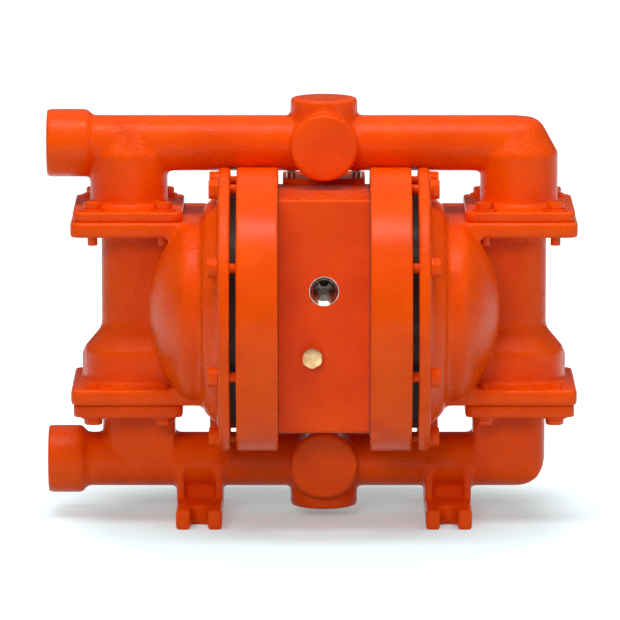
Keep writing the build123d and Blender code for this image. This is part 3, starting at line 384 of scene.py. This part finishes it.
class Bench:
    """Blender's tools, as used by hand on one piece at a time."""

    @staticmethod
    def clear() -> None:
        """Lets go of every object, so that a tool acts on the new piece alone."""
        if bpy.context.object is not None and bpy.context.object.mode != "OBJECT":
            bpy.ops.object.mode_set(mode="OBJECT")
        bpy.ops.object.select_all(action="DESELECT")

    @staticmethod
    def hold(piece: bpy.types.Object) -> None:
        """Selects one piece alone and makes it the active one."""
        Bench.clear()
        piece.select_set(True)
        bpy.context.view_layer.objects.active = piece

    @staticmethod
    def settle(piece: bpy.types.Object, at: Vector, along: Along,
               angle: float = 30.0) -> bpy.types.Object:
        """Turns a piece from +Z to its axis, moves it, writes both into its mesh and shades it.

        Args:
            piece: The piece, made about the origin along +Z.
            at: Where its origin goes, in metres.
            along: The axis it goes along.
            angle: Edges sharper than this many degrees stay sharp.

        Returns:
            The same piece.
        """
        Bench.hold(piece)
        piece.rotation_euler = along.value
        piece.location = at
        Bench.write_place()
        bpy.ops.object.shade_smooth_by_angle(angle=math.radians(angle))
        return piece

    @staticmethod
    def write_place() -> None:
        """Writes the held piece's place, turn and size into its mesh."""
        bpy.ops.object.transform_apply(location=True, rotation=True, scale=True)

    @staticmethod
    def new_piece(name: str) -> bpy.types.Object:
        """Names the piece that was just made, with its place written into its mesh."""
        piece = bpy.context.object
        piece.name = name
        Bench.write_place()
        return piece

    @staticmethod
    def weld(hair: float = HAIR) -> None:
        """Merges the points of the held piece that lie within a hair of each other, in edit mode."""
        bpy.ops.mesh.select_all(action="SELECT")
        bpy.ops.mesh.remove_doubles(threshold=hair)

    @staticmethod
    def sleeve(name: str, rings: Sequence[Ring], sides: int = 64) -> bpy.types.Object:
        """Draws a ring out through a row of rings and back to the first, as a hollow piece is turned.

        Args:
            name: Name of the piece.
            rings: The rings, outside first.
            sides: Number of sides of a ring.

        Returns:
            The new piece, along +Z.
        """
        Bench.clear()
        first = rings[0]
        bpy.ops.mesh.primitive_circle_add(
            vertices=sides, radius=first.radius * MM,
            location=(0, first.aside * MM, first.height * MM))
        piece = Bench.new_piece(name)
        bpy.ops.object.mode_set(mode="EDIT")
        for last, ring in zip(rings, [*rings[1:], first]):
            move = (0, (ring.aside - last.aside) * MM, (ring.height - last.height) * MM)
            bpy.ops.mesh.extrude_region_move(TRANSFORM_OT_translate={"value": move})
            scale = ring.radius / last.radius
            bpy.ops.transform.resize(value=(scale, scale, 1),
                                     center_override=(0, ring.aside * MM, ring.height * MM))
        Bench.weld()
        bpy.ops.mesh.normals_make_consistent(inside=False)
        bpy.ops.object.mode_set(mode="OBJECT")
        return piece

    @staticmethod
    def thread(name: str, crest_r: float, root_r: float, pitch: float, length: float,
               sides: int = 56) -> bpy.types.Object:
        """Winds one internal thread ridge.

        Args:
            name: Name of the piece.
            crest_r: Radius of the ridge's crest in millimetres.
            root_r: Radius of its root, in the wall of the hole.
            pitch: Rise in one turn.
            length: Length of the thread.
            sides: Steps in one turn.

        Returns:
            The new piece, along +Z from 0 to length.
        """
        Bench.clear()
        half = pitch / 2
        gap = 0.04 * pitch    # flat of the root, on each side of the ridge
        bpy.ops.mesh.primitive_circle_add(
            vertices=3, radius=half * MM, location=(root_r * MM, 0, half * MM),
            rotation=(math.pi / 2, 0, 0))
        piece = Bench.new_piece(name)
        low = min(piece.data.vertices, key=lambda v: v.co.z)
        high = max(piece.data.vertices, key=lambda v: v.co.z)
        middle = next(v for v in piece.data.vertices if v not in (low, high))
        low.co = (root_r * MM, 0, gap * MM)
        high.co = (root_r * MM, 0, (pitch - gap) * MM)
        middle.co = (crest_r * MM, 0, half * MM)
        wind = piece.modifiers.new("wind", "SCREW")
        wind.axis = "Z"
        wind.screw_offset = pitch * MM
        wind.iterations = int((length - pitch) / pitch)
        wind.steps = sides
        wind.render_steps = sides
        wind.use_merge_vertices = False
        bpy.ops.object.modifier_apply(modifier=wind.name)
        bpy.ops.object.mode_set(mode="EDIT")
        Bench.weld()
        bpy.ops.mesh.fill_holes(sides=4)
        bpy.ops.mesh.normals_make_consistent(inside=False)
        bpy.ops.object.mode_set(mode="OBJECT")
        return piece


def dress(piece: bpy.types.Object, material: bpy.types.Material) -> None:
    """Gives a piece its one material."""
    piece.data.materials.clear()
    piece.data.materials.append(material)
    for face in piece.data.polygons:
        face.material_index = 0


def add_to_pump(piece: bpy.types.Object, material: bpy.types.Material) -> None:
    """Finishes a new piece and fixes it to the pump.

    Args:
        piece: The piece.
        material: Its finish.
    """
    dress(piece, material)
    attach(piece, PUMP)
    log.info("%s: %d faces", piece.name, len(piece.data.polygons))


def mount_place(name: str) -> Vector:
    """Where the record has a mount."""
    mount = next(m for m in frame["record"]["mounts"] if m["name"] == name)
    return Vector(mount["pos_m"])


def merged_copy(node: str, name: str) -> bpy.types.Object:
    """Copies a CAD node's mesh into a piece of its own and merges its loose triangles.

    Args:
        node: The CAD node.
        name: Name of the new piece.

    Returns:
        The new piece, selected.
    """
    Bench.clear()
    piece = bpy.data.objects.new(name, frame["nodes"][node].data.copy())
    bpy.context.collection.objects.link(piece)
    Bench.hold(piece)
    bpy.ops.object.mode_set(mode="EDIT")
    Bench.weld(CAD_HAIR)
    bpy.ops.object.mode_set(mode="OBJECT")
    return piece


@dataclass(frozen=True)
class CastSkin:
    """The outside of a sand casting, with the soft edges and inner corners that the mould leaves.

    Attributes:
        nodes: Castings that get a skin of their own.
        voxel: Edge length of the skin's faces in metres.
        passes: Smoothing passes.
        step: How far a pass goes, from 0 to 1.
    """

    nodes: Tuple[str, ...]
    voxel: float = MANIFOLD_VOXEL
    passes: int = 4
    step: float = 0.5

    def build(self, material: bpy.types.Material) -> None:
        """Makes each skin with its finish."""
        for node in self.nodes:
            self.skin(node, material)

    def skin(self, node: str, material: bpy.types.Material) -> None:
        """Makes the skin of one casting.

        Args:
            node: The casting.
            material: Its finish.
        """
        piece = merged_copy(node, f"{node}_cast")
        remesh = piece.modifiers.new("cast", "REMESH")
        remesh.mode = "VOXEL"
        remesh.voxel_size = self.voxel
        bpy.ops.object.modifier_apply(modifier=remesh.name)
        smooth = piece.modifiers.new("soft", "SMOOTH")
        smooth.factor = self.step
        smooth.iterations = self.passes
        bpy.ops.object.modifier_apply(modifier=smooth.name)
        bpy.ops.object.shade_smooth()
        add_to_pump(piece, material)
        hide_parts(node)


def source_slot(node: str) -> str:
    """Material slot of a CAD node, as its record says."""
    for part in frame["record"]["subparts"]:
        if part["node"] == node:
            return part["material_slot"]
    raise KeyError(node)


@dataclass(frozen=True)
class SoftEdged:
    """Machined and forged pieces with their sharp edges broken.

    Attributes:
        nodes: The pieces.
        width: Width of the broken edge in metres.
        angle: Edges sharper than this many degrees are broken.
    """

    nodes: Tuple[str, ...]
    width: float = 0.5 * MM
    angle: float = 35.0

    def build(self, material: bpy.types.Material) -> None:
        """Makes each piece with its finish."""
        for node in self.nodes:
            self.piece(node, material)

    def piece(self, node: str, material: bpy.types.Material) -> None:
        """Breaks the edges of one piece.

        Args:
            node: The piece's CAD node.
            material: Its finish.
        """
        piece = merged_copy(node, f"{node}_finished")
        bevel = piece.modifiers.new("edge", "BEVEL")
        bevel.width = self.width
        bevel.segments = 2
        bevel.limit_method = "ANGLE"
        bevel.angle_limit = math.radians(self.angle)
        bpy.ops.object.modifier_apply(modifier=bevel.name)
        bpy.ops.object.shade_smooth_by_angle(angle=math.radians(self.angle))
        add_to_pump(piece, material)
        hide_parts(node)


@dataclass(frozen=True)
class AirInlet:
    """The bare threaded hole in the front of the centre block, all in millimetres.

    Attributes:
        mouth_r: Radius of the bare ring on the block's face.
        lip: Width of the ring's flat.
        lip_depth: How far the ring reaches into the block.
        proud: How far the ring stands out of the block's face.
        countersink: Depth of the countersink.
        bore_r: Radius of the hole.
        outer_r: Radius of the lining, inside the block's wall.
        flare_depth: Depth where the lining's outside starts to widen towards the ring.
        thread: Length of the thread.
        thread_start: Depth where the thread starts.
        pitch: 14 threads to the inch.
        ridge: Height of the thread's ridge.
        rooted: How far the ridge's root lies in the lining.
        run_out: Length of plain bore past the thread.
        taper: How much narrower the bore is at its end.
        passage_r: Radius of the passage at the end of the cone.
        passage_up: How far the passage lies above the hole's axis.
        passage_length: Length of the passage.
        depth: Depth of the hole.
        behind: How far the lining's outside reaches past the hole's end.
        shade_disc: Thickness of the dark disc of painted shade that closes the passage's end.
        shade_disc_round: Rounding of its edge.
    """

    mouth_r: float = 14.8
    lip: float = 0.7
    lip_depth: float = 0.6
    proud: float = 0.06
    countersink: float = 2.1
    bore_r: float = 12.0
    outer_r: float = 13.2
    flare_depth: float = 3.0
    thread: float = 11.0
    thread_start: float = 1.9
    pitch: float = 1.814
    ridge: float = 0.95
    rooted: float = 0.1
    run_out: float = 2.5
    taper: float = 0.3
    passage_r: float = 4.6
    passage_up: float = 6.0
    passage_length: float = 2.0
    depth: float = 23.5
    behind: float = 0.3
    # the passage is closed by a dark disc of painted shade
    shade_disc: float = 0.8
    shade_disc_round: float = 0.15

    def build(self, metal: bpy.types.Material, dark: bpy.types.Material) -> None:
        """Lines the hole.

        Args:
            metal: Finish of the lining and thread.
            dark: Finish of the disc of painted shade that closes the passage.
        """
        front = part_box("center_block")[0][1]
        place = mount_place("air_inlet")
        face = Vector((place.x, front, place.z))
        for piece, finish in ((self.lining(), metal), (self.ridges(), metal), (self.end(), dark)):
            Bench.settle(piece, face, Along.BACK)
            add_to_pump(piece, finish)

    def lining(self) -> bpy.types.Object:
        """Turns the lining: a bare ring, a countersink, the bore and a cone up to the passage."""
        return Bench.sleeve("air_inlet_lining", [
            Ring(self.outer_r, self.depth + self.behind),
            Ring(self.outer_r, self.flare_depth),
            Ring(self.mouth_r, self.lip_depth),
            Ring(self.mouth_r, -self.proud),
            Ring(self.mouth_r - self.lip, -self.proud),
            Ring(self.bore_r, self.countersink),
            Ring(self.bore_r - self.taper, self.thread + self.run_out),
            Ring(self.passage_r, self.depth - self.passage_length, -self.passage_up),
            Ring(self.passage_r, self.depth, -self.passage_up),
        ])

    def ridges(self) -> bpy.types.Object:
        """Winds the thread."""
        piece = Bench.thread("air_inlet_thread", self.bore_r - self.ridge,
                             self.bore_r + self.rooted, self.pitch, self.thread)
        Bench.hold(piece)
        piece.location = (0, 0, self.thread_start * MM)
        Bench.write_place()
        return piece

    def end(self) -> bpy.types.Object:
        """Makes a dark disc of painted shade that closes the passage, a little wider than the passage
        all round.
        """
        Bench.clear()
        bpy.ops.mesh.primitive_cylinder_add(
            vertices=32, radius=(self.passage_r + self.shade_disc / 4) * MM, depth=self.shade_disc * MM,
            location=(0, -self.passage_up * MM, (self.depth - self.behind) * MM))
        piece = Bench.new_piece("air_inlet_shade_disc")
        bpy.ops.object.mode_set(mode="EDIT")
        bpy.ops.mesh.select_all(action="SELECT")
        bpy.ops.mesh.bevel(offset=self.shade_disc_round * MM, segments=2)
        bpy.ops.object.mode_set(mode="OBJECT")
        return piece


@dataclass(frozen=True)
class PipePorts:
    """The two threaded ports at the left ends of the pipes, all in millimetres.

    Attributes:
        crest_r: Radius of the thread's crest.
        root_r: Radius of its root.
        pitch: 11.5 threads to the inch.
        start: Depth where the thread starts.
        length: Threaded length.
    """

    crest_r: float = 20.9
    root_r: float = 22.7
    pitch: float = 2.209
    start: float = 1.0
    length: float = 26.0

    def build(self, material: bpy.types.Material) -> None:
        """Winds a thread into each port."""
        self.port("discharge_manifold", "discharge_port", material)
        self.port("inlet_manifold", "inlet_port", material)

    def port(self, node: str, mount: str, material: bpy.types.Material) -> None:
        """Winds the thread of one port.

        Args:
            node: The manifold.
            mount: Its port.
            material: Finish of its thread.
        """
        left_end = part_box(node)[0][0]
        place = mount_place(mount)
        first_turn = Vector((left_end + self.start * MM, place.y, place.z))
        piece = Bench.thread(f"{node}_port_thread", self.crest_r, self.root_r, self.pitch,
                             self.length)
        Bench.settle(piece, first_turn, Along.RIGHT)
        add_to_pump(piece, material)


Finish = Union[Enamel, Metal, Moulded]


class Paintwork:
    """The materials of the pump, each made once."""

    OF_SLOT: Dict[str, Finish] = {
        "casting": CAST,
        "air_casting": SMOOTH,
        "bolt": BOLT,
        "brass_plug": BRASS,
        "bronze": BRONZE,
        "screw_steel": ZINC,
        "sheet_rubber": FIBRE,
        "diaphragm": BLACK_RUBBER,
        "ball": WHITE_BALL,
        "seat": ALUMINIUM,
        "piston": ALUMINIUM,
        "steel": STEEL,
    }

    def __init__(self) -> None:
        """Starts with no material."""
        self.made: Dict[str, bpy.types.Material] = {}

    def of(self, finish: Finish) -> bpy.types.Material:
        """The material of a finish, made when it is first asked for."""
        if finish.name not in self.made:
            self.made[finish.name] = finish.material()
        return self.made[finish.name]

    def dress_nodes(self) -> None:
        """Gives every CAD node the finish of its slot."""
        for node, piece in frame["nodes"].items():
            dress(piece, self.of(self.OF_SLOT[source_slot(node)]))
        log.info("%d nodes dressed", len(frame["nodes"]))


@dataclass(frozen=True)
class Lamp:
    """A soft box.

    Attributes:
        name: Name of the lamp.
        at: Its place in metres.
        size: Its width and height.
        power: Its power in watts.
        mirrored: Shows in glossy surfaces.
        aim: What it points at.
    """

    name: str
    at: Place
    size: Tuple[float, float]
    power: float
    mirrored: bool = True
    aim: Place = (0.0, 0.0, 0.2)

    def hang(self) -> None:
        """Hangs the lamp."""
        light = bpy.data.lights.new(self.name, "AREA")
        light.shape = "RECTANGLE"
        light.size, light.size_y = self.size
        light.energy = self.power
        lamp = bpy.data.objects.new(self.name, light)
        bpy.context.collection.objects.link(lamp)
        lamp.visible_glossy = self.mirrored
        lamp.location = self.at
        lamp.rotation_euler = facing(Vector(self.at), Vector(self.aim))


def facing(place: Vector, aim: Vector) -> Euler:
    """The turn of a lamp or camera that stands at one place and points at another."""
    return (aim - place).to_track_quat("-Z", "Y").to_euler()


@dataclass(frozen=True)
class Floor:
    """White floor with the pump's shadow on it.

    Attributes:
        half: Half its width in metres.
        colour: Its own colour, which keeps the red that the pump sheds out of the shadow.
        near: How strongly the floor glows under the pump, to the camera and in mirrors.
        far: How strongly it glows clear of the pump.
        shadow: Distances from the origin where the glow starts to grow and stops growing.
    """

    half: float = 30.0
    colour: Colour = (0.62, 0.82, 0.85)
    near: float = 0.26
    far: float = 0.8
    shadow: Range = (0.22, 0.38)

    def lay(self) -> None:
        """Lays the floor."""
        Bench.clear()
        bpy.ops.mesh.primitive_plane_add(size=2 * self.half, location=(0, 0, 0))
        piece = bpy.context.object
        piece.name = "floor"
        piece.data.materials.append(self.material())

    def material(self) -> bpy.types.Material:
        """Makes the floor's material."""
        material = bpy.data.materials.new("floor_white")
        material.use_nodes = True
        nodes = Nodes(material.node_tree)
        output = nodes.add("ShaderNodeOutputMaterial")
        diffuse = nodes.add("ShaderNodeBsdfDiffuse", Color=(*self.colour, 1))
        glow = nodes.add("ShaderNodeEmission", Color=WHITE)
        away = nodes.add("ShaderNodeVectorMath")
        away.operation = "LENGTH"
        nodes.join(nodes.place(), away.inputs[0])
        growth = nodes.span(away.outputs["Value"], *self.shadow, self.near, self.far)
        seen = nodes.sight("Is Camera Ray", "Is Glossy Ray")
        nodes.join(nodes.combine("MULTIPLY", seen, growth), glow.inputs["Strength"])
        both = nodes.add("ShaderNodeAddShader")
        nodes.join(diffuse.outputs[0], both.inputs[0])
        nodes.join(glow.outputs[0], both.inputs[1])
        nodes.join(both.outputs[0], output.inputs["Surface"])
        return material


@dataclass(frozen=True)
class Room:
    """Even light from all round, brighter from above, that the camera sees as white.

    Attributes:
        height: Heights, from 0 at the horizon to 1 overhead, where the light starts and stops growing.
        low: Strength of the light from the horizon and below.
        high: Strength of the light from above.
    """

    height: Range = (0.1, 0.9)
    low: float = 0.08
    high: float = 0.52

    def light(self) -> None:
        """Lights the room."""
        world = bpy.data.worlds.new("room")
        bpy.context.scene.world = world
        world.use_nodes = True
        nodes = Nodes(world.node_tree)
        output = nodes.add("ShaderNodeOutputWorld")
        room = nodes.add("ShaderNodeBackground", Color=WHITE)
        white = nodes.add("ShaderNodeBackground", Color=WHITE, Strength=1.0)
        axes = nodes.add("ShaderNodeSeparateXYZ")
        nodes.join(nodes.place("Generated"), axes.inputs[0])
        strength = nodes.span(axes.outputs["Z"], *self.height, self.low, self.high)
        nodes.join(strength, room.inputs["Strength"])
        mix = nodes.add("ShaderNodeMixShader")
        nodes.join(nodes.sight("Is Camera Ray"), mix.inputs["Fac"])
        nodes.join(room.outputs[0], mix.inputs[1])
        nodes.join(white.outputs[0], mix.inputs[2])
        nodes.join(mix.outputs[0], output.inputs["Surface"])


@dataclass(frozen=True)
class Camera:
    """The camera in front of the pump, a little above it.

    Attributes:
        aim: What it looks at, in metres.
        distance: How far away it stands.
        elevation: How far it looks down, in degrees.
        lens: Focal length in millimetres.
        sensor: Width of its sensor in millimetres.
        sees_to: The furthest that it sees.
    """

    aim: Place = (-0.014, 0.0, 0.2183)
    distance: float = 7.0
    elevation: float = 8.9
    lens: float = 406.0
    sensor: float = 36.0
    sees_to: float = 100.0

    def stand(self) -> None:
        """Sets the camera up."""
        rise = math.radians(self.elevation)
        aim = Vector(self.aim)
        data = bpy.data.cameras.new("camera")
        data.lens = self.lens
        data.sensor_width = self.sensor
        data.clip_end = self.sees_to
        camera = bpy.data.objects.new("camera", data)
        bpy.context.collection.objects.link(camera)
        camera.location = aim + self.distance * Vector((0, -math.cos(rise), math.sin(rise)))
        camera.rotation_euler = facing(camera.location, aim)
        bpy.context.scene.camera = camera
        bpy.context.scene.view_settings.view_transform = "Standard"


LAMPS = (
    Lamp("overhead", at=(0.0, -0.5, 2.1), size=(2.2, 0.5), power=29.0),
    Lamp("front", at=(-0.9, -4.0, 2.0), size=(1.8, 1.0), power=58.0, mirrored=False),
    Lamp("right", at=(2.6, -1.4, 0.9), size=(0.6, 1.2), power=8.0),
)


def studio() -> None:
    """Sets up the floor, the light and the camera."""
    Floor().lay()
    Room().light()
    for lamp in LAMPS:
        lamp.hang()
    Camera().stand()
    log.info("studio")


def main() -> None:
    """Builds the pump's looks in order, and the studio."""
    logging.basicConfig(level=logging.INFO)
    paint = Paintwork()
    paint.dress_nodes()
    CastSkin(("discharge_manifold", "inlet_manifold")).build(paint.of(CAST))
    CastSkin(("liquid_chamber_right", "liquid_chamber_left"), CHAMBER_VOXEL).build(paint.of(CAST))
    SoftEdged(("chamber_bolts_right", "chamber_bolts_left", "discharge_bolts",
               "inlet_bolts")).build(paint.of(BOLT))
    SoftEdged(("pipe_plug",)).build(paint.of(BRASS))
    PipePorts().build(paint.of(BARE_IRON))
    AirInlet().build(paint.of(BARE_IRON), paint.of(SHADOW))
    studio()


if __name__ == "__main__":
    main()
